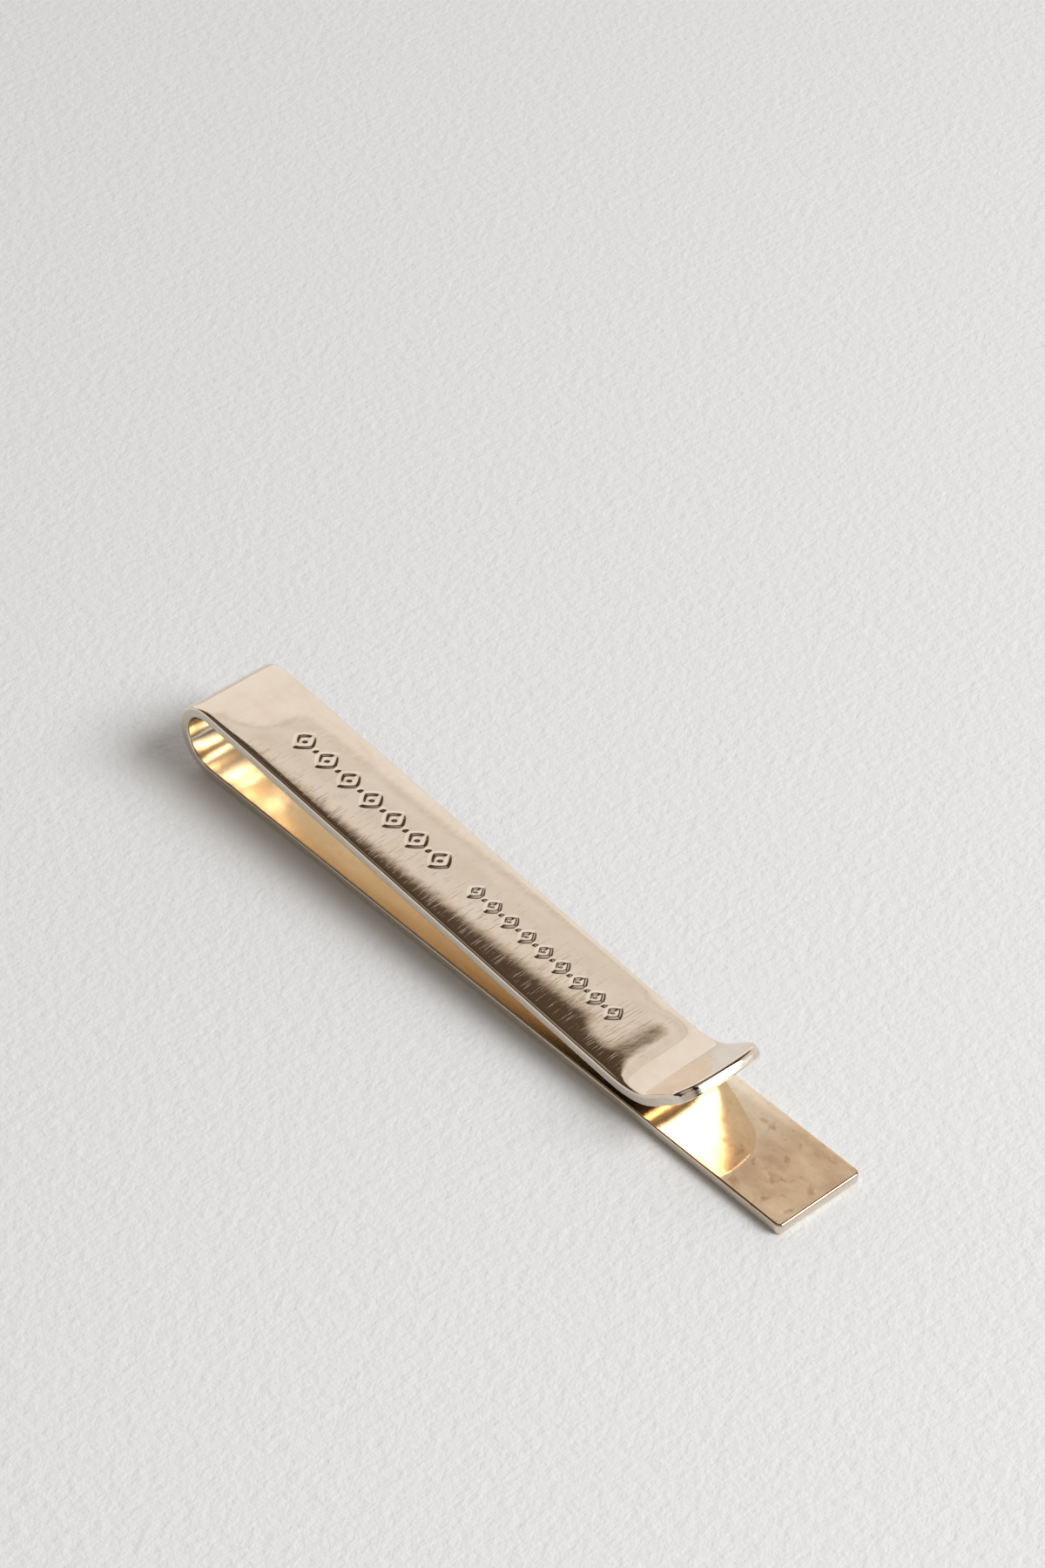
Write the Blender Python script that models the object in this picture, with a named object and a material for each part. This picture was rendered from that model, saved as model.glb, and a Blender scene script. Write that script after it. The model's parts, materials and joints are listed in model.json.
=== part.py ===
"""Slim money clip: one springy metal strip folded back over itself.

The strip runs from the free end of the front bar, round the bend and back along the
leaf to the nip and the lifted thumb lip.  It is cut into stretches where one zone ends
and the next begins, with a narrow slot between them.  The leaf, the nip and the lip turn
together about a pivot on the strip's neutral line, where the bend meets the leaf.

+X runs along the bar towards its free end, +Y across the strip and +Z up.  The origin is
under the middle of the clip's box, on the surface that the bar lies on.
"""
from math import cos, pi, radians, sin, sqrt

import bmesh
import bpy
from mathutils import Vector

# Driving dimensions, in metres
CLIP_LENGTH = 0.0674
STRIP_WIDTH = 0.008
STRIP_THICKNESS = 0.001
BEND_OUTER_RADIUS = 0.00335
LEAF_SLOPE = radians(5.0)
NIP_START = 0.0507          # from the back of the bend to the end of the leaf's straight run
NIP_RADIUS = 0.0047         # at mid thickness
LIP_ANGLE = radians(40.5)
LIP_LENGTH = 0.0047
JOINT_GAP = 0.0003

# The strip's section
EDGE_RADIUS = 0.00018
CROWN_HEIGHT = 0.00022      # how far the leaf's outer face swells above its edges
CROWN_POWER = 2.6
CROWN_STEPS = 8
LIP_CORNER_RADIUS = 0.0017
BAR_CORNER_RADIUS = 0.0004
CORNER_STEPS = 5

# The raised ornament on the leaf: lozenges with beads between them
LARGE_ROW = {"start": 0.0095, "end": 0.0274, "count": 7, "length": 0.00205, "width": 0.0024, "bead": 0.00042}
SMALL_ROW = {"start": 0.0298, "end": 0.0464, "count": 9, "length": 0.00145, "width": 0.0018, "bead": 0.00032}
ROW_BREAK = 0.0286          # from the back of the bend to the plain gap between the two rows
RELIEF_HEIGHT = 0.00012
RELIEF_DEPTH = 0.00006      # how far an ornament reaches down into the leaf
RELIEF_TOP = 0.6            # size of an ornament's top against its outline on the leaf
RELIEF_FOOT = 1 + (1 - RELIEF_TOP) * RELIEF_DEPTH / RELIEF_HEIGHT
BEAD_SIDES = 8

# Lengths along the strip's neutral line, from the bar's free end
BEND_RADIUS = BEND_OUTER_RADIUS - STRIP_THICKNESS / 2
BEND_ANGLE = pi + LEAF_SLOPE
BEND_LENGTH = BEND_RADIUS * BEND_ANGLE
LEAF_ROOT_X = BEND_OUTER_RADIUS + BEND_RADIUS * sin(LEAF_SLOPE)
BAR_END = CLIP_LENGTH - BEND_OUTER_RADIUS
BEND_FIRST_CUT = BAR_END + BEND_LENGTH / 3
BEND_SECOND_CUT = BAR_END + BEND_LENGTH * 2 / 3
BEND_END = BAR_END + BEND_LENGTH
LEAF_CUT = BEND_END + (ROW_BREAK - LEAF_ROOT_X) / cos(LEAF_SLOPE)
LEAF_END = BEND_END + (NIP_START - LEAF_ROOT_X) / cos(LEAF_SLOPE)
NIP_END = LEAF_END + NIP_RADIUS * (LEAF_SLOPE + LIP_ANGLE)
LIP_END = NIP_END + LIP_LENGTH

# Runs of constant curvature: where each one ends, and how fast the heading turns
RUNS = (
    (BAR_END, 0.0),
    (BEND_END, -1 / BEND_RADIUS),
    (LEAF_END, 0.0),
    (NIP_END, 1 / NIP_RADIUS),
    (LIP_END, 0.0),
)

# Each node with the stretch it covers, its number of steps and its material
STRETCHES = (
    ("front_bar", 0.0, BAR_END, 6, "polished_gold"),
    ("bend_lower", BAR_END, BEND_FIRST_CUT, 10, "polished_gold"),
    ("bend_crown", BEND_FIRST_CUT, BEND_SECOND_CUT, 10, "satin_gold"),
    ("bend_upper", BEND_SECOND_CUT, BEND_END, 10, "satin_gold"),
    ("leaf_rear", BEND_END, LEAF_CUT, 10, "satin_gold"),
    ("leaf_front", LEAF_CUT, LEAF_END, 10, "satin_gold"),
    ("nip_curve", LEAF_END, NIP_END, 10, "satin_gold"),
    ("thumb_lip", NIP_END, LIP_END, 4, "satin_gold"),
)

# The leaf turns about the strip's neutral line where the bend meets the leaf
LEAF_NODES = ("leaf_rear", "leaf_front", "nip_curve", "thumb_lip")

COLOURS = {
    "polished_gold": ((0.78, 0.60, 0.38, 1.0), 0.12),
    "satin_gold": ((0.76, 0.66, 0.54, 1.0), 0.32),
}


def clear_scene():
    for item in list(bpy.data.objects):
        bpy.data.objects.remove(item, do_unlink=True)


def make_material(name):
    colour, roughness = COLOURS[name]
    material = bpy.data.materials.new(name)
    material.use_nodes = True
    shader = material.node_tree.nodes["Principled BSDF"]
    shader.inputs["Base Color"].default_value = colour
    shader.inputs["Metallic"].default_value = 1.0
    shader.inputs["Roughness"].default_value = roughness
    return material


def path_frame(station):
    """Point on the neutral line, with the unit vectors along the strip and out of it."""
    x, z, heading = CLIP_LENGTH / 2, STRIP_THICKNESS / 2, pi
    run_start = 0.0
    for run_end, curvature in RUNS:
        length = min(station, run_end) - run_start
        if curvature:
            turned = heading + curvature * length
            x += (sin(turned) - sin(heading)) / curvature
            z += (cos(heading) - cos(turned)) / curvature
            heading = turned
        else:
            x += length * cos(heading)
            z += length * sin(heading)
        run_start = run_end
        if station <= run_end:
            break
    along = Vector((cos(heading), 0.0, sin(heading)))
    outward = Vector((-sin(heading), 0.0, cos(heading)))
    return Vector((x, 0.0, z)), along, outward


def smooth_rise(value, start, end):
    share = min(max((value - start) / (end - start), 0.0), 1.0)
    return share * share * (3 - 2 * share)


def crown_at(station):
    """Swell of the outer face: none on the bar, full along the leaf, none at the lip."""
    growth = smooth_rise(station, BEND_SECOND_CUT, LEAF_CUT)
    fading = smooth_rise(station, LEAF_END, NIP_END)
    return CROWN_HEIGHT * growth * (1 - fading)


def half_width_at(station):
    """Half the strip's width, less the rounding of its corners at the two ends."""
    for from_end, radius in ((station, BAR_CORNER_RADIUS), (LIP_END - station, LIP_CORNER_RADIUS)):
        if from_end < radius:
            inset = radius - from_end
            return STRIP_WIDTH / 2 - radius + sqrt(radius * radius - inset * inset)
    return STRIP_WIDTH / 2


def section_outline(half_width, crown):
    """The strip's section as (across, outward) pairs: flat inside, crowned outside."""
    rim = STRIP_THICKNESS / 2
    flat = half_width - EDGE_RADIUS
    shoulder = flat + EDGE_RADIUS * sin(pi / 4)
    drop = EDGE_RADIUS * (1 - cos(pi / 4))
    outline = []
    for step in range(CROWN_STEPS + 1):
        share = 2 * step / CROWN_STEPS - 1
        outline.append((share * flat, rim + crown * (1 - abs(share) ** CROWN_POWER)))
    side = [
        (shoulder, rim - drop),
        (half_width, rim - EDGE_RADIUS),
        (half_width, EDGE_RADIUS - rim),
        (shoulder, drop - rim),
        (flat, -rim),
    ]
    outline += side
    outline += [(-across, outward) for across, outward in reversed(side)]
    return outline


def stations_of(start, end, steps):
    """Places of the section along one stretch, closer together at a rounded corner."""
    first = start + (JOINT_GAP / 2 if start > 0 else 0.0)
    last = end - (JOINT_GAP / 2 if end < LIP_END else 0.0)
    places = {first + (last - first) * step / steps for step in range(steps + 1)}
    for step in range(1, CORNER_STEPS):
        share = 1 - cos(pi / 2 * step / CORNER_STEPS)
        if start == 0:
            places.add(BAR_CORNER_RADIUS * share)
        if end == LIP_END:
            places.add(LIP_END - LIP_CORNER_RADIUS * share)
    if start == 0:
        places.add(BAR_CORNER_RADIUS)
    if end == LIP_END:
        places.add(LIP_END - LIP_CORNER_RADIUS)
    return sorted(places)


def finish_mesh(name, model):
    """Turn a bmesh into a mesh that is shaded smooth except at its real edges."""
    bmesh.ops.recalc_face_normals(model, faces=model.faces)
    mesh = bpy.data.meshes.new(name)
    model.to_mesh(mesh)
    model.free()
    mesh.shade_smooth()
    mesh.set_sharp_from_angle(angle=radians(20))
    return mesh


def strip_mesh(name, stations, origin):
    """One closed stretch of the strip, swept along the neutral line."""
    model = bmesh.new()
    rings = []
    for station in stations:
        point, _, outward = path_frame(station)
        ring = []
        for across, out in section_outline(half_width_at(station), crown_at(station)):
            place = point + outward * out + Vector((0.0, across, 0.0)) - origin
            ring.append(model.verts.new(place))
        rings.append(ring)
    count = len(rings[0])
    for near, far in zip(rings, rings[1:]):
        for index in range(count):
            following = (index + 1) % count
            model.faces.new((near[index], near[following], far[following], far[index]))
    model.faces.new(rings[0])
    model.faces.new(reversed(rings[-1]))
    return finish_mesh(name, model)


def lozenge_outline(length, width):
    return [(length / 2, 0.0), (0.0, width / 2), (-length / 2, 0.0), (0.0, -width / 2)]


def bead_outline(size):
    turns = [2 * pi * side / BEAD_SIDES for side in range(BEAD_SIDES)]
    return [(size / 2 * cos(turn), size / 2 * sin(turn)) for turn in turns]


def add_raised_shape(model, outline, station, origin):
    """A shape that stands on the leaf with sloping flanks and reaches into it."""
    point, along, outward = path_frame(station)
    face = STRIP_THICKNESS / 2 + crown_at(station)
    rings = []
    for scale, out in ((RELIEF_FOOT, face - RELIEF_DEPTH), (RELIEF_TOP, face + RELIEF_HEIGHT)):
        ring = []
        for lengthwise, across in outline:
            place = point + along * lengthwise * scale + outward * out
            place += Vector((0.0, across * scale, 0.0)) - origin
            ring.append(model.verts.new(place))
        rings.append(ring)
    foot, top = rings
    for index in range(len(outline)):
        following = (index + 1) % len(outline)
        model.faces.new((foot[index], foot[following], top[following], top[index]))
    model.faces.new(reversed(foot))
    model.faces.new(top)


def relief_mesh(name, row, origin):
    """A row of lozenges with a bead between each pair."""
    model = bmesh.new()
    pitch = (row["end"] - row["start"] - row["length"]) / (row["count"] - 1)
    for index in range(row["count"]):
        centre = row["start"] + row["length"] / 2 + pitch * index
        station = BEND_END + (centre - LEAF_ROOT_X) / cos(LEAF_SLOPE)
        add_raised_shape(model, lozenge_outline(row["length"], row["width"]), station, origin)
        if index < row["count"] - 1:
            add_raised_shape(model, bead_outline(row["bead"]), station + pitch / 2, origin)
    return finish_mesh(name, model)


def add_object(name, mesh, parent):
    item = bpy.data.objects.new(name, mesh)
    bpy.context.collection.objects.link(item)
    item.parent = parent
    return item


def join_relief(leaf, row, origin):
    """Raise a row of ornaments out of the leaf with a Boolean union."""
    relief = add_object(leaf.name + "_relief", relief_mesh(leaf.name + "_relief", row, origin), leaf)
    relief.hide_render = True
    relief.display_type = "WIRE"
    union = leaf.modifiers.new("raise_relief", "BOOLEAN")
    union.operation = "UNION"
    union.object = relief


def make_leaf_pivot(point):
    pivot = add_object("leaf_pivot", None, None)
    pivot.location = point
    return pivot


def build_clip():
    clear_scene()
    materials = {name: make_material(name) for name in COLOURS}
    hinge_point = path_frame(BEND_END)[0]
    leaf_pivot = make_leaf_pivot(hinge_point)
    reliefs = {"leaf_rear": LARGE_ROW, "leaf_front": SMALL_ROW}
    for name, start, end, steps, slot in STRETCHES:
        moves = name in LEAF_NODES
        pivot, origin = (leaf_pivot, hinge_point) if moves else (None, Vector())
        stretch = add_object(name, strip_mesh(name, stations_of(start, end, steps), origin), pivot)
        stretch.data.materials.append(materials[slot])
        if name in reliefs:
            join_relief(stretch, reliefs[name], origin)


build_clip()
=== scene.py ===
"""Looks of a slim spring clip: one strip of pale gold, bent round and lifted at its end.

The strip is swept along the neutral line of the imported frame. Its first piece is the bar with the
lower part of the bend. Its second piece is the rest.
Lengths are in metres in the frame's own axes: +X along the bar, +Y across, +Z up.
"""
import json
from math import cos, pi, radians, sin

import bpy
import numpy as np
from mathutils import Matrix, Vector


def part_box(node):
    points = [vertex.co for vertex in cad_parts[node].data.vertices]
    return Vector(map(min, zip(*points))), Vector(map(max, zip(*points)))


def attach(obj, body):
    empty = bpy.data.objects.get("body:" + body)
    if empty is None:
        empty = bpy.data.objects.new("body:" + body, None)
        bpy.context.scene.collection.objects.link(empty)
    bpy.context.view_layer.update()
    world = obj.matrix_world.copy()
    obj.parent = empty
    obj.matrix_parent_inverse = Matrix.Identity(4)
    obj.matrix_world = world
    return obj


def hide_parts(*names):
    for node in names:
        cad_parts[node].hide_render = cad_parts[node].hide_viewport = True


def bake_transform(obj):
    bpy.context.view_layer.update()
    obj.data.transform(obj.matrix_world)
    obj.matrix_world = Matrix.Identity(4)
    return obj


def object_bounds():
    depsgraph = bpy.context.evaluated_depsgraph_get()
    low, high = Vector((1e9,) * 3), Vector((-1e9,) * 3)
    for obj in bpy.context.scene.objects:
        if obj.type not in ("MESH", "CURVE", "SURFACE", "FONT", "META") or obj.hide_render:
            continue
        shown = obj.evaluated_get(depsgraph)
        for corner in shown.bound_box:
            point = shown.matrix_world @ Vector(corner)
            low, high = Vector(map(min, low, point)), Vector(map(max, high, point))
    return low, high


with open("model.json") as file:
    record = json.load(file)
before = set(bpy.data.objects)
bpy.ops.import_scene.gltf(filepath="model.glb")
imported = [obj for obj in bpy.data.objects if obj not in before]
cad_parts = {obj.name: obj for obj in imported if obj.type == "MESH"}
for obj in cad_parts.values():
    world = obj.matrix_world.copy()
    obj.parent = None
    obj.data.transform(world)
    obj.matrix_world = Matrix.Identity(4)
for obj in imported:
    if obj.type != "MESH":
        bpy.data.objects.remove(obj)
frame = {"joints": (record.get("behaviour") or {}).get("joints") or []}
CAD_LOW, CAD_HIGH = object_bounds()
MM = 0.001

# ---------------------------------------------------------------- sizes from the frame
BAR_LOW, BAR_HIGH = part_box("front_bar")
LIP_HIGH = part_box("thumb_lip")[1]
HINGE = Vector(frame["joints"][0]["pos_m"])
THICKNESS = BAR_HIGH.z - BAR_LOW.z
HALF_WIDTH = (BAR_HIGH.y - BAR_LOW.y) / 2
LEAF_SLOPE = radians(5.0)
LIP_ANGLE = radians(40.5)
BEND_OUTER_RADIUS = (HINGE.z + THICKNESS / 2 * cos(LEAF_SLOPE)) / (1 + cos(LEAF_SLOPE))
BEND_RADIUS = BEND_OUTER_RADIUS - THICKNESS / 2
NIP_RADIUS = 4.7 * THICKNESS
NIP_START_X = (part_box("leaf_front")[1].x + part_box("nip_curve")[0].x) / 2
BACK_X = CAD_LOW.x
LEAF_ROOT = HINGE.x - BACK_X

# Lengths along the neutral line, from the bar's free end
BAR_END = BAR_HIGH.x - BACK_X - BEND_OUTER_RADIUS
BEND_END = BAR_END + BEND_RADIUS * (pi + LEAF_SLOPE)
SEAM = BAR_END + BEND_RADIUS * radians(60)
LEAF_END = BEND_END + (NIP_START_X - HINGE.x) / cos(LEAF_SLOPE)
NIP_END = LEAF_END + NIP_RADIUS * (LEAF_SLOPE + LIP_ANGLE)
NIP_END_X = NIP_START_X + NIP_RADIUS * (sin(LEAF_SLOPE) + sin(LIP_ANGLE))
LIP_END_X = LIP_HIGH.x - THICKNESS / 2 * sin(LIP_ANGLE)
LIP_END = NIP_END + (LIP_END_X - NIP_END_X) / cos(LIP_ANGLE)
# Each change of curvature: where it is, the curvature after it, and how far it is eased
TURNS = (
    (BAR_END, -1 / BEND_RADIUS, 0.6 * MM),
    (BEND_END, 0.0, 0.6 * MM),
    (LEAF_END, 1 / NIP_RADIUS, 2.6 * MM),
    (NIP_END, 0.0, 1.0 * MM),
)
PATH_SAMPLES = 9001

# ---------------------------------------------------------------- the strip's own shape
OUTER_EDGE_RADIUS = 0.27 * MM
LIP_EDGE_RADIUS = 0.42 * MM
LIP_EDGE_RISE = (LIP_END - 3 * MM, LIP_END - MM)     # where the first radius grows to the second
LIP_BOW = 0.60 * MM                                  # how far the lip's end is drawn back at its sides
LIP_BOW_RISE = (LIP_END - 4 * MM, LIP_END)
INNER_EDGE_RADIUS = 0.14 * MM
LIP_CORNER_RADIUS = 1.5 * MM
BAR_CORNER_RADIUS = 0.45 * MM
CROWN_HEIGHT = 0.22 * MM
CROWN_POWER = 2.6
NIP_CROWN_POWER = 7.0
CROWN_RISE = (BEND_END - MM, BEND_END + 5 * MM)
CROWN_FLATTENS = (LEAF_END - 6 * MM, LEAF_END)       # where the first power grows to the second
CROWN_FADE = (LEAF_END - 3 * MM, LEAF_END + 6 * MM)
RIM_DROP = 0.022 * MM                                # how far the inner face falls away at its edges
RIM_WIDTH = 0.9 * MM

# The ornament: lozenges with a seed in each and beads between them, placed from the strip's back
STROKE = 0.22 * MM
STROKE_POWER = 0.8
LOZENGE_POWER = 1.25
ROW_MARGIN = 0.3 * MM
LARGE_ROW = {
    "start": 9.5 * MM, "end": 27.4 * MM, "count": 7,
    "length": 2.05 * MM, "width": 2.4 * MM, "height": 0.06 * MM,
    "bead": 0.32 * MM, "seed": 0.27 * MM,
}
SMALL_ROW = {
    "start": 29.8 * MM, "end": 46.4 * MM, "count": 9,
    "length": 1.45 * MM, "width": 1.8 * MM, "height": 0.085 * MM,
    "bead": 0.25 * MM, "seed": 0.17 * MM,
}

# Stations nearer than this are one, and vectors shorter than NO_LENGTH have no direction
SAME_PLACE = 1e-7
NO_LENGTH = 1e-20

# The strip's materials, by their slots
OUTER_FACE, INNER_FACE, CUT_EDGE = 0, 1, 2


def smooth_rise(value, start, end):
    """A soft step from 0 to 1 between two places."""
    share = np.clip((value - start) / (end - start), 0.0, 1.0)
    return share * share * (3 - 2 * share)


def running_sum(values, step):
    """Integral of evenly spaced values, from nought."""
    return np.concatenate(([0.0], np.cumsum((values[1:] + values[:-1]) / 2 * step)))


def path_frames(stations):
    """Points on the neutral line, with the directions out of the strip's outer face."""
    fine, step = np.linspace(0.0, LIP_END, PATH_SAMPLES, retstep=True)
    curvature, before = np.zeros(len(fine)), 0.0
    for place, after, ease in TURNS:
        curvature += (after - before) * smooth_rise(fine, place - ease, place + ease)
        before = after
    heading = pi + running_sum(curvature, step)
    x = BAR_HIGH.x + running_sum(np.cos(heading), step)
    z = THICKNESS / 2 + running_sum(np.sin(heading), step)
    x, z, heading = (np.interp(stations, fine, values) for values in (x, z, heading))
    still = np.zeros(np.shape(stations))
    places = np.stack((x, still, z), axis=-1)
    outwards = np.stack((-np.sin(heading), still, np.cos(heading)), axis=-1)
    return places, outwards


def rounding(distance, radius):
    """How far a rounded edge has fallen away at a given distance from it."""
    inset = np.clip(radius - distance, 0.0, radius)
    return radius - np.sqrt(radius**2 - inset**2)


def half_widths(stations):
    """Half the strip's width at each station, less its rounded corners at the two ends."""
    widths = np.full(len(stations), HALF_WIDTH)
    widths -= rounding(stations, BAR_CORNER_RADIUS)
    return widths - rounding(LIP_END - stations, LIP_CORNER_RADIUS)


def distance_inside(stations, across):
    """Distance from the strip's outline, seen square on to its face."""
    nearest = np.full(across.shape, HALF_WIDTH)
    for from_end, radius in ((stations, BAR_CORNER_RADIUS), (LIP_END - stations, LIP_CORNER_RADIUS)):
        side = np.abs(across) - (HALF_WIDTH - radius)
        end = np.broadcast_to((radius - from_end)[:, None], side.shape)
        both = (side > 0) & (end > 0)
        distance = np.where(both, radius - np.hypot(side, end), radius - np.maximum(side, end))
        nearest = np.minimum(nearest, distance)
    return np.clip(nearest, 0.0, None)


def crown(stations, across):
    """Swell of the outer face: none round the bend, flatter on top and then gone at the nip."""
    height = CROWN_HEIGHT * smooth_rise(stations, *CROWN_RISE)
    height = height * (1 - smooth_rise(stations, *CROWN_FADE))
    power = CROWN_POWER + (NIP_CROWN_POWER - CROWN_POWER) * smooth_rise(stations, *CROWN_FLATTENS)
    return height[:, None] * (1 - np.abs(across / HALF_WIDTH) ** power[:, None])


def puff(distance, reach):
    """A soft raised stroke: full height at its middle and level with the face at its reach."""
    share = np.clip(1 - np.abs(distance) / reach, 0.0, 1.0)
    return 0.5 - 0.5 * np.cos(pi * share**STROKE_POWER)


def row_relief(row, along, across):
    """One row of the ornament, as a share of its height."""
    pitch = (row["end"] - row["start"] - row["length"]) / (row["count"] - 1)
    first = row["start"] + row["length"] / 2
    half_length, half_width = row["length"] / 2, row["width"] / 2
    edge_scale = half_length * half_width / np.hypot(half_length, half_width)
    raised = np.zeros(across.shape)
    for index in range(row["count"]):
        centre = first + pitch * index
        lengthwise = np.abs(along - centre) / half_length
        crosswise = np.abs(across) / half_width
        spread = (lengthwise**LOZENGE_POWER + crosswise**LOZENGE_POWER) ** (1 / LOZENGE_POWER)
        raised = np.maximum(raised, puff((spread - 1) * edge_scale + STROKE, STROKE))
        dots = [(centre, row["seed"])]
        if index < row["count"] - 1:
            dots.append((centre + pitch / 2, row["bead"]))
        for dot, radius in dots:
            raised = np.maximum(raised, puff(np.hypot(along - dot, across), radius))
    return raised


def relief(stations, across):
    """Height of the ornament over the outer face."""
    along = (stations - BEND_END)[:, None] * cos(LEAF_SLOPE) + LEAF_ROOT
    return sum(row["height"] * row_relief(row, along, across) for row in (LARGE_ROW, SMALL_ROW))


def clustered(end, radius, steps):
    """Distances from an edge that follow a quarter circle."""
    return [end + radius * (1 - cos(pi / 2 * step / steps)) for step in range(steps + 1)]


def leaf_station(from_back):
    """The station on the leaf's slope that is a given distance from the strip's back."""
    return BEND_END + (from_back - LEAF_ROOT) / cos(LEAF_SLOPE)


def strip_stations():
    """Where the section is placed: close together at the ends, in the bend and on the ornament."""
    bar = clustered(0.0, OUTER_EDGE_RADIUS, 6) + clustered(OUTER_EDGE_RADIUS, BAR_CORNER_RADIUS, 5)
    lip = clustered(0.0, LIP_EDGE_RADIUS, 8) + clustered(LIP_EDGE_RADIUS, LIP_CORNER_RADIUS, 12)
    ornament_start = leaf_station(LARGE_ROW["start"] - ROW_MARGIN)
    ornament_end = leaf_station(SMALL_ROW["end"] + ROW_MARGIN)
    # Each zone: from, to and spacing
    zones = (
        (OUTER_EDGE_RADIUS + BAR_CORNER_RADIUS, 2 * MM, 0.08 * MM),
        (2 * MM, BAR_END - MM, 1.5 * MM),
        (BAR_END - MM, BAR_END, 0.10 * MM),
        (BAR_END, SEAM, 0.10 * MM),
        (SEAM, BEND_END, 0.12 * MM),
        (BEND_END, ornament_start, 0.30 * MM),
        (ornament_start, ornament_end, 0.085 * MM),
        (ornament_end, LEAF_END, 0.25 * MM),
        (LEAF_END, NIP_END, 0.09 * MM),
        (NIP_END, LIP_END - LIP_EDGE_RADIUS - LIP_CORNER_RADIUS, 0.15 * MM),
    )
    places = set(bar)
    places.update(LIP_END - distance for distance in lip)
    for start, end, spacing in zones:
        places.update(np.linspace(start, end, max(2, round((end - start) / spacing) + 1)))
    places = np.array(sorted(places))
    return places[np.concatenate(([True], np.diff(places) > SAME_PLACE))]


def face_shares(fine_half, fine_steps, coarse_steps, edge_radius, edge_steps):
    """Places across a face, from -1 to 1: fine in the middle, and on a quarter circle at the edges."""
    edge = [1 - distance / HALF_WIDTH for distance in clustered(0.0, edge_radius, edge_steps)]
    middle = fine_half / HALF_WIDTH
    half = list(np.linspace(0.0, middle, fine_steps + 1))
    half += list(np.linspace(middle, edge[-1], coarse_steps + 1))[1:]
    half += edge[-2::-1]
    half = np.array(half)
    return np.concatenate((-half[:0:-1], half))


def strip_surface(stations):
    """The rings of the whole strip, with the normals of its faces and of its cut edges."""
    shares = face_shares(
        fine_half=1.3 * MM, fine_steps=24, coarse_steps=10, edge_radius=OUTER_EDGE_RADIUS, edge_steps=5
    )
    across = shares * half_widths(stations)[:, None]
    distance = distance_inside(stations, across)
    lip_share = smooth_rise(stations, *LIP_EDGE_RISE)[:, None]
    outer_radius = OUTER_EDGE_RADIUS + (LIP_EDGE_RADIUS - OUTER_EDGE_RADIUS) * lip_share
    outer = THICKNESS / 2 - rounding(distance, outer_radius)
    outer = outer + crown(stations, across) + relief(stations, across)
    inner = rounding(distance, INNER_EDGE_RADIUS) - THICKNESS / 2
    inner = inner + RIM_DROP * (1 - smooth_rise(distance, 0.0, RIM_WIDTH))
    # The lip ends in a shallow arc, so its last rings are drawn back towards the two sides
    bowed = LIP_BOW * smooth_rise(stations, *LIP_BOW_RISE)[:, None] * (across / HALF_WIDTH) ** 2
    places, outwards = path_frames(stations[:, None] - bowed)
    faces = []
    for out in (outer, inner):
        face = places + outwards * out[:, :, None]
        face[:, :, 1] = across
        faces.append(face)
    normals = [face_normals(face, stations, shares) for face in faces]
    cut_normals = edge_normals(faces, stations, shares)
    rings = np.concatenate((faces[0], faces[1][:, ::-1]), axis=1)
    normals = np.concatenate((normals[0], -normals[1][:, ::-1]), axis=1)
    return rings, normals, cut_normals, len(shares)


def unit(vectors):
    """The same directions, each of length one."""
    return vectors / np.maximum(np.linalg.norm(vectors, axis=-1, keepdims=True), NO_LENGTH)


def face_normals(face, stations, shares):
    """Normals from how a face runs along and across the strip."""
    return unit(np.cross(np.gradient(face, stations, axis=0), np.gradient(face, shares, axis=1)))


def edge_normals(faces, stations, shares):
    """Normals of the cut edges, along the strip's two sides and at its two ends."""
    thick = unit(faces[0] - faces[1])
    middle = (faces[0] + faces[1]) / 2
    lengthwise = np.gradient(middle, stations, axis=0)
    crosswise = np.gradient(middle, shares, axis=1)
    sides = unit(np.cross(lengthwise, thick))
    ends = unit(np.cross(crosswise, thick))
    return {"left": sides[:, 0], "right": -sides[:, -1], "start": -ends[0], "end": ends[-1]}


def unrolled(rings, stations):
    """Texture coordinates in millimetres: along the strip, and round its section."""
    steps = np.linalg.norm(np.diff(rings, axis=1, append=rings[:, :1]), axis=2)
    typical = steps[len(steps) // 2]
    round_section = np.concatenate(([0.0], np.cumsum(typical)))
    return stations / MM, round_section / MM


def add_wall(build, surface, stations):
    """Both faces and both cut sides of a stretch of the strip."""
    rings, normals, sides, across_count = surface
    rows, count = rings.shape[:2]
    along, round_section = unrolled(rings, stations)
    cut = {across_count - 1: sides["right"], count - 1: sides["left"]}
    for row in range(rows - 1):
        for index in range(count):
            following = (index + 1) % count
            face_slot = INNER_FACE if index >= across_count else OUTER_FACE
            build["slots"].append(CUT_EDGE if index in cut else face_slot)
            corners = ((row, index), (row + 1, index), (row + 1, following), (row, following))
            build["faces"].append([r * count + i for r, i in corners])
            for (r, i), turn in zip(corners, (index, index, index + 1, index + 1)):
                build["places"].append((along[r], round_section[turn]))
                build["normals"].append(cut[index][r] if index in cut else normals[r, i])


def add_cap(build, surface, stations, row, end, reverse):
    """A cut end that closes a stretch of the strip at one of its rings."""
    rings, _, cut_normals, across_count = surface
    count = rings.shape[1]
    for index in range(across_count - 1):
        opposite = count - 1 - index
        corners = [index, index + 1, opposite - 1, opposite]
        if reverse:
            corners.reverse()
        build["faces"].append([row * count + i for i in corners])
        build["slots"].append(CUT_EDGE)
        for i in corners:
            build["places"].append((rings[row, i, 1] / MM, (stations[row] + rings[row, i, 2]) / MM))
            build["normals"].append(cut_normals[end][i if i < across_count else count - 1 - i])


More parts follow.
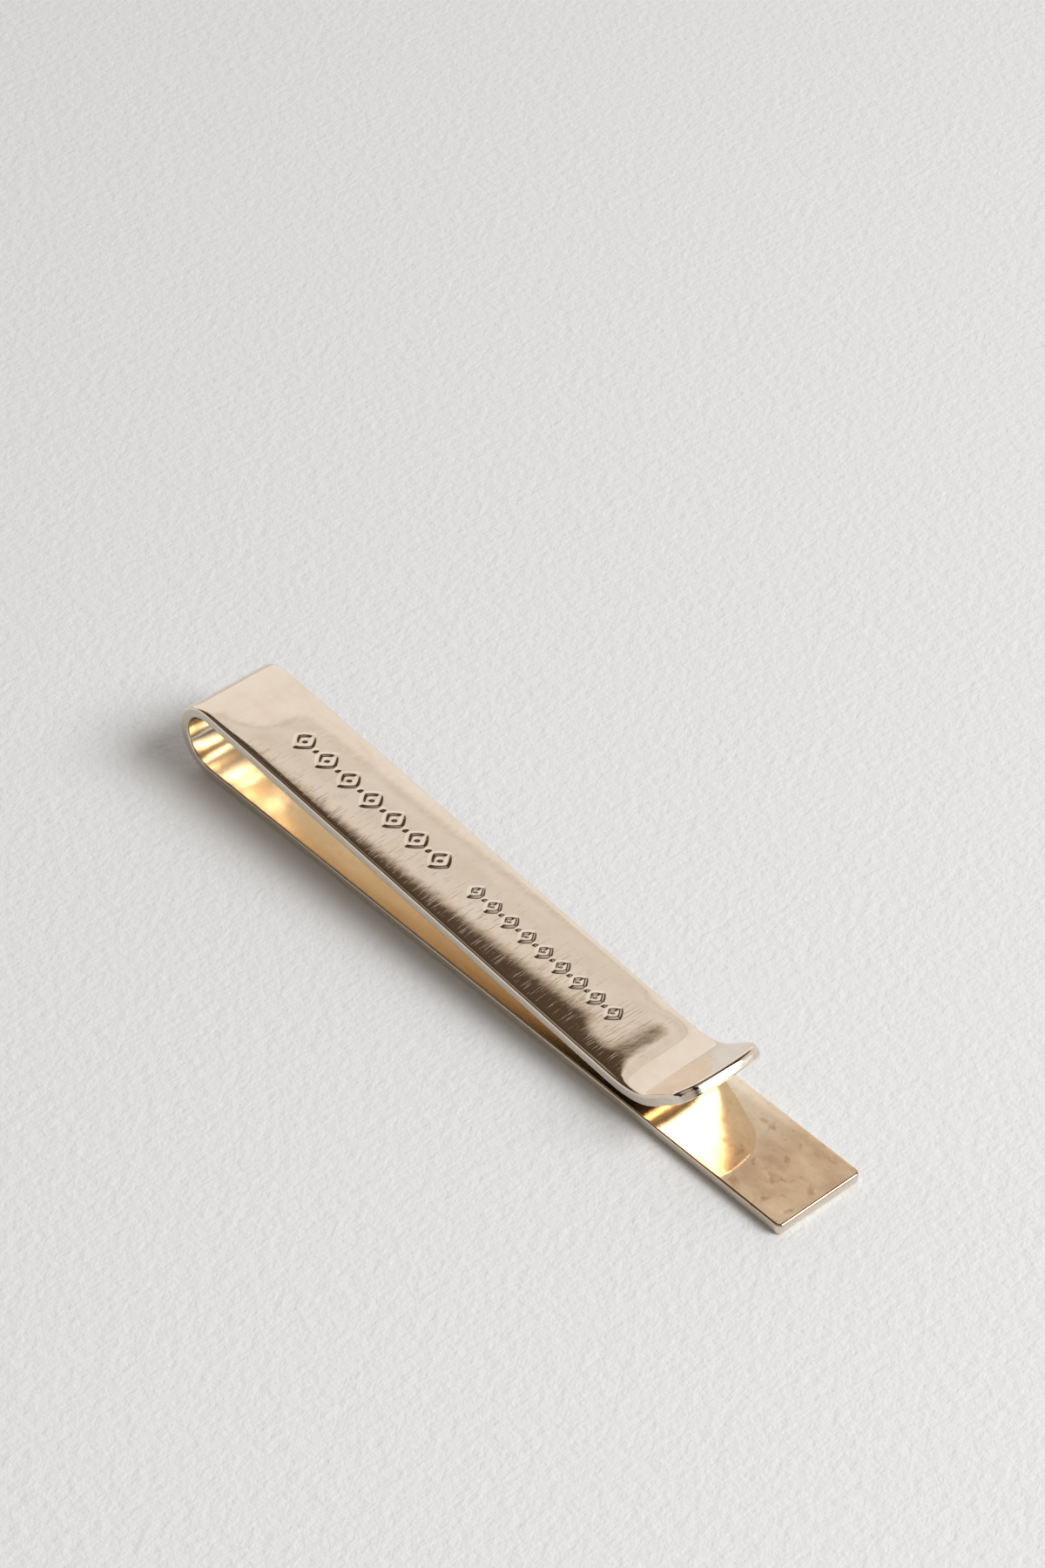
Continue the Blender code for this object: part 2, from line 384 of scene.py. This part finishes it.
def strip_piece(name, surface, span, stations, materials):
    """A closed stretch of the strip as one mesh, with its unrolled texture coordinates."""
    rings, normals, cut_normals, across_count = surface
    sides = {side: cut_normals[side][span] for side in ("left", "right")}
    stretch = (rings[span], normals[span], {**cut_normals, **sides}, across_count)
    stations = stations[span]
    build = {"faces": [], "slots": [], "places": [], "normals": []}
    add_wall(build, stretch, stations)
    add_cap(build, stretch, stations, 0, "start", reverse=False)
    add_cap(build, stretch, stations, len(stations) - 1, "end", reverse=True)
    mesh = bpy.data.meshes.new(name)
    mesh.from_pydata(stretch[0].reshape(-1, 3).tolist(), [], build["faces"])
    layer = mesh.uv_layers.new(name="strip")
    layer.data.foreach_set("uv", np.array(build["places"], dtype=np.float32).ravel())
    for material in materials:
        mesh.materials.append(material)
    mesh.polygons.foreach_set("material_index", build["slots"])
    mesh.shade_smooth()
    mesh.normals_split_custom_set(np.array(build["normals"]).tolist())
    piece = bpy.data.objects.new(name, mesh)
    bpy.context.scene.collection.objects.link(piece)
    return piece


# ---------------------------------------------------------------- materials
def new_material(name, metallic, roughness=None):
    """A new material, with its nodes, its links and its shader's sockets."""
    material = bpy.data.materials.new(name)
    material.use_nodes = True
    nodes, links = material.node_tree.nodes, material.node_tree.links
    shader = nodes["Principled BSDF"]
    shader.inputs["Metallic"].default_value = metallic
    if roughness is not None:
        shader.inputs["Roughness"].default_value = roughness
    return material, nodes, links, shader.inputs


def texture_place(nodes, links, along, across):
    """Coordinates on the unrolled strip, in millimetres times a scale along it and one across it."""
    place = nodes.new("ShaderNodeUVMap")
    place.uv_map = "strip"
    mapping = nodes.new("ShaderNodeMapping")
    mapping.inputs["Scale"].default_value = (along, across, 1.0)
    links.new(place.outputs["UV"], mapping.inputs["Vector"])
    return mapping.outputs["Vector"]


def noise(nodes, links, place, detail, roughness, distortion=0.0):
    """Clouds between 0 and 1, whose size the place's own scale sets."""
    texture = nodes.new("ShaderNodeTexNoise")
    texture.inputs["Scale"].default_value = 1.0
    texture.inputs["Detail"].default_value = detail
    texture.inputs["Roughness"].default_value = roughness
    texture.inputs["Distortion"].default_value = distortion
    links.new(place, texture.inputs["Vector"])
    return texture.outputs["Fac"]


def ramp(nodes, links, value, stops):
    """A colour ramp from (position, colour) pairs."""
    node = nodes.new("ShaderNodeValToRGB")
    elements = node.color_ramp.elements
    first, last = elements[0], elements[1]
    last.position, last.color = stops[-1][0], (*stops[-1][1], 1.0)
    first.position, first.color = stops[0][0], (*stops[0][1], 1.0)
    for position, colour in stops[1:-1]:
        elements.new(position).color = (*colour, 1.0)
    links.new(value, node.inputs["Fac"])
    return node.outputs["Color"]


def level(nodes, links, value, source, target):
    """Map a value's range from source onto target, without going past its ends."""
    node = nodes.new("ShaderNodeMapRange")
    for socket, number in zip(("From Min", "From Max", "To Min", "To Max"), (*source, *target)):
        node.inputs[socket].default_value = number
    links.new(value, node.inputs["Value"])
    return node.outputs["Result"]


def product(nodes, links, first, second):
    """Two values multiplied."""
    node = nodes.new("ShaderNodeMath")
    node.operation = "MULTIPLY"
    links.new(first, node.inputs[0])
    links.new(second, node.inputs[1])
    return node.outputs["Value"]


def mix_colour(nodes, links, share, first, second):
    """Blend from the first colour to the second by a share. Either may be plain numbers."""
    node = nodes.new("ShaderNodeMix")
    node.data_type = "RGBA"
    links.new(share, node.inputs["Factor"])
    for socket, colour in (("A", first), ("B", second)):
        if isinstance(colour, tuple):
            node.inputs[socket].default_value = (*colour, 1.0)
        else:
            links.new(colour, node.inputs[socket])
    return node.outputs["Result"]


def bumps(nodes, links, layers):
    """Chain bump nodes from (height, strength, distance) layers and return the last normal."""
    normal = None
    for height, strength, distance in layers:
        bump = nodes.new("ShaderNodeBump")
        bump.inputs["Strength"].default_value = strength
        bump.inputs["Distance"].default_value = distance
        links.new(height, bump.inputs["Height"])
        if normal is not None:
            links.new(normal, bump.inputs["Normal"])
        normal = bump.outputs["Normal"]
    return normal


def satin_gold():
    """Pale gold of the outer face: satin, with fine crosswise hairlines and soft wear."""
    material, nodes, links, sockets = new_material("satin_gold", metallic=1.0)
    cloud = noise(nodes, links, texture_place(nodes, links, 0.35, 0.6), detail=4.0, roughness=0.55)
    tint = ramp(nodes, links, cloud, ((0.3, (0.80, 0.665, 0.525)), (0.7, (0.86, 0.745, 0.62))))
    hairlines = noise(nodes, links, texture_place(nodes, links, 9.0, 0.45), detail=2.0, roughness=0.5)
    scratches = level(nodes, links, hairlines, (0.60, 0.70), (0.0, 1.0))
    grain = noise(nodes, links, texture_place(nodes, links, 9.0, 7.0), detail=1.0, roughness=0.4)
    dents = noise(nodes, links, texture_place(nodes, links, 1.3, 0.9), detail=1.0, roughness=0.4)
    layers = ((scratches, 0.3, 0.0035 * MM), (grain, 0.3, 0.0018 * MM), (dents, 0.3, 0.010 * MM))
    links.new(tint, sockets["Base Color"])
    links.new(level(nodes, links, scratches, (0.0, 1.0), (0.055, 0.12)), sockets["Roughness"])
    links.new(bumps(nodes, links, layers), sockets["Normal"])
    return material


def tarnished_tint(nodes, links, handled):
    """Yellow gold, browner and spotted where it has been handled."""
    place = texture_place(nodes, links, 0.28, 0.5)
    cloud = noise(nodes, links, place, detail=4.0, roughness=0.6, distortion=0.3)
    clean = ramp(nodes, links, cloud, ((0.35, (0.90, 0.79, 0.62)), (0.65, (0.93, 0.83, 0.68))))
    dulled = ramp(nodes, links, cloud, ((0.3, (0.56, 0.38, 0.23)), (0.7, (0.80, 0.60, 0.40))))
    tint = mix_colour(nodes, links, handled, clean, dulled)
    place = texture_place(nodes, links, 0.9, 0.9)
    spots = noise(nodes, links, place, detail=2.0, roughness=0.5, distortion=0.4)
    spots = product(nodes, links, level(nodes, links, spots, (0.57, 0.74), (0.0, 0.75)), handled)
    return mix_colour(nodes, links, spots, tint, (0.42, 0.22, 0.11))


def polished_gold():
    """Yellow gold of the inner face: near mirror, with tarnish and brown spots by the bar's free end."""
    material, nodes, links, sockets = new_material("polished_gold", metallic=1.0)
    parts = nodes.new("ShaderNodeSeparateXYZ")
    links.new(texture_place(nodes, links, 1.0, 1.0), parts.inputs["Vector"])
    from_end = parts.outputs["X"]
    handled = level(nodes, links, from_end, (5.0, 13.0), (1.0, 0.2))
    wave = noise(nodes, links, texture_place(nodes, links, 0.5, 0.5), detail=1.0, roughness=0.4)
    links.new(tarnished_tint(nodes, links, handled), sockets["Base Color"])
    links.new(level(nodes, links, from_end, (20.0, 32.0), (0.07, 0.20)), sockets["Roughness"])
    links.new(bumps(nodes, links, ((wave, 0.3, 0.01 * MM),)), sockets["Normal"])
    return material


def cut_edge():
    """Silvery cut edge of the strip, finely scored along its length."""
    material, nodes, links, sockets = new_material("cut_edge", metallic=1.0)
    score = noise(nodes, links, texture_place(nodes, links, 0.6, 9.0), detail=2.0, roughness=0.5)
    tint = ramp(nodes, links, score, ((0.3, (0.68, 0.62, 0.53)), (0.7, (0.78, 0.72, 0.64))))
    links.new(tint, sockets["Base Color"])
    links.new(level(nodes, links, score, (0.3, 0.7), (0.18, 0.30)), sockets["Roughness"])
    links.new(bumps(nodes, links, ((score, 0.3, 0.003 * MM),)), sockets["Normal"])
    return material


def paper():
    """Pale card under the clip, with a soft uneven tooth."""
    material, nodes, links, sockets = new_material("paper", metallic=0.0, roughness=0.9)
    sockets["Base Color"].default_value = (0.76, 0.76, 0.755, 1.0)
    place = nodes.new("ShaderNodeTexCoord").outputs["Object"]
    layers = []
    # Lumps and then fibres: how many to a metre, how strong and how high
    for scale, strength, height in ((1300.0, 0.8, 0.16 * MM), (3400.0, 0.6, 0.05 * MM)):
        mapping = nodes.new("ShaderNodeMapping")
        mapping.inputs["Scale"].default_value = (scale, scale * 0.7, scale)
        links.new(place, mapping.inputs["Vector"])
        lumps = noise(nodes, links, mapping.outputs["Vector"], detail=3.0, roughness=0.6)
        layers.append((lumps, strength, height))
    links.new(bumps(nodes, links, layers), sockets["Normal"])
    return material


# ---------------------------------------------------------------- the clip
def make_clip():
    """The strip in two pieces that meet in the bend, at the seam."""
    stations = strip_stations()
    surface = strip_surface(stations)
    seam = int(np.argmin(np.abs(stations - SEAM)))
    materials = (satin_gold(), polished_gold(), cut_edge())
    spans = {"strip_bar": slice(0, seam + 1), "strip_leaf": slice(seam, len(stations))}
    return [strip_piece(name, surface, span, stations, materials) for name, span in spans.items()]


bar_piece, leaf_piece = make_clip()
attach(bar_piece, "bar")
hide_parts("front_bar", "bend_lower")
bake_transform(leaf_piece)
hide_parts("bend_crown", "bend_upper", "leaf_rear", "leaf_front", "nip_curve", "thumb_lip")


# ---------------------------------------------------------------- floor, light and camera
def make_floor():
    """A sheet of card, much wider than the view."""
    reach = 6.0
    corners = [(-reach, -reach, 0.0), (reach, -reach, 0.0), (reach, reach, 0.0), (-reach, reach, 0.0)]
    mesh = bpy.data.meshes.new("floor")
    mesh.from_pydata(corners, [], [(0, 1, 2, 3)])
    mesh.materials.append(paper())
    floor = bpy.data.objects.new("floor", mesh)
    bpy.context.scene.collection.objects.link(floor)


def add_softbox(name, direction, distance, size, radiance, colour):
    """An area light that faces the clip from a given direction, as bright as its radiance says."""
    lamp = bpy.data.lights.new(name, "AREA")
    lamp.shape = "RECTANGLE"
    lamp.size, lamp.size_y = size
    lamp.energy = radiance * pi * size[0] * size[1]
    lamp.color = colour
    light = bpy.data.objects.new(name, lamp)
    bpy.context.scene.collection.objects.link(light)
    towards = Vector(direction).normalized()
    light.location = towards * distance
    light.rotation_euler = towards.to_track_quat("Z", "Y").to_euler()
    light.visible_camera = False


# The room's colours by how squarely a direction faces the pale wall: 0 away from it, 1 straight at it
PALE_WALL = Vector((-0.904, 0.426, 0.0))
ROOM_STOPS = (
    (0.30, (0.018, 0.013, 0.010)),
    (0.55, (0.060, 0.043, 0.030)),
    (0.764, (0.095, 0.066, 0.045)),
    (0.767, (0.50, 0.43, 0.35)),
    (0.771, (0.58, 0.52, 0.45)),
    (0.775, (0.86, 0.845, 0.825)),
    (0.785, (0.82, 0.81, 0.795)),
    (0.802, (0.77, 0.755, 0.735)),
    (0.816, (0.84, 0.83, 0.82)),
    (0.823, (0.70, 0.67, 0.63)),
    (0.832, (0.93, 0.925, 0.92)),
    (0.95, (0.95, 0.945, 0.94)),
)
# Pale patches of the room: direction, inner and outer half angle in degrees, colour
ROOM_PATCHES = (
    ((0.62, -0.62, 0.38), 12.0, 24.0, (0.52, 0.44, 0.35)),
    ((0.60, -0.78, 0.02), 17.0, 29.0, (0.60, 0.54, 0.50)),
    ((0.30, 0.92, 0.24), 22.0, 34.0, (0.75, 0.74, 0.72)),
    ((0.22, 0.18, 0.95), 10.0, 20.0, (0.50, 0.48, 0.45)),
    ((-0.05, -0.68, 0.73), 16.0, 30.0, (0.50, 0.46, 0.42)),
)


def facing(nodes, links, place, direction):
    """Cosine of the angle between a place in the room and a direction."""
    node = nodes.new("ShaderNodeVectorMath")
    node.operation = "DOT_PRODUCT"
    node.inputs[1].default_value = direction
    links.new(place, node.inputs[0])
    return node.outputs["Value"]


def make_world():
    """A room with a pale wall behind the clip and a few pale patches, dim everywhere else."""
    world = bpy.data.worlds.new("room")
    bpy.context.scene.world = world
    world.use_nodes = True
    nodes, links = world.node_tree.nodes, world.node_tree.links
    place = nodes.new("ShaderNodeTexCoord").outputs["Generated"]
    share = level(nodes, links, facing(nodes, links, place, PALE_WALL), (-1.0, 1.0), (0.0, 1.0))
    colour = ramp(nodes, links, share, ROOM_STOPS)
    for direction, inner, outer, tone in ROOM_PATCHES:
        nearness = facing(nodes, links, place, Vector(direction).normalized())
        within = level(nodes, links, nearness, (cos(radians(outer)), cos(radians(inner))), (0.0, 1.0))
        colour = mix_colour(nodes, links, within, colour, tone)
    background = nodes["Background"]
    links.new(colour, background.inputs["Color"])
    background.inputs["Strength"].default_value = 1.0


def make_camera():
    """The camera looks down on the clip from its free end, about 34 cm away."""
    azimuth = radians(48.61)
    elevation = radians(41.87)
    distance = 339 * MM
    target = Vector((-13.66 * MM, 13.9 * MM, 0.0))
    back = Vector((sin(azimuth) * cos(elevation), -cos(azimuth) * cos(elevation), sin(elevation)))
    data = bpy.data.cameras.new("camera")
    data.lens = 100.0
    data.sensor_width = 36.0
    data.clip_start, data.clip_end = 0.01, 20.0
    camera = bpy.data.objects.new("camera", data)
    bpy.context.scene.collection.objects.link(camera)
    camera.location = target + back * distance
    camera.rotation_euler = back.to_track_quat("Z", "Y").to_euler()
    bpy.context.scene.camera = camera


make_floor()
make_world()
add_softbox(
    "key", direction=(0.67, 0.38, 0.64), distance=1.10, size=(0.63, 0.60), radiance=11.4,
    colour=(0.985, 0.995, 1.015)
)
make_camera()
bpy.context.scene.view_settings.view_transform = "Standard"
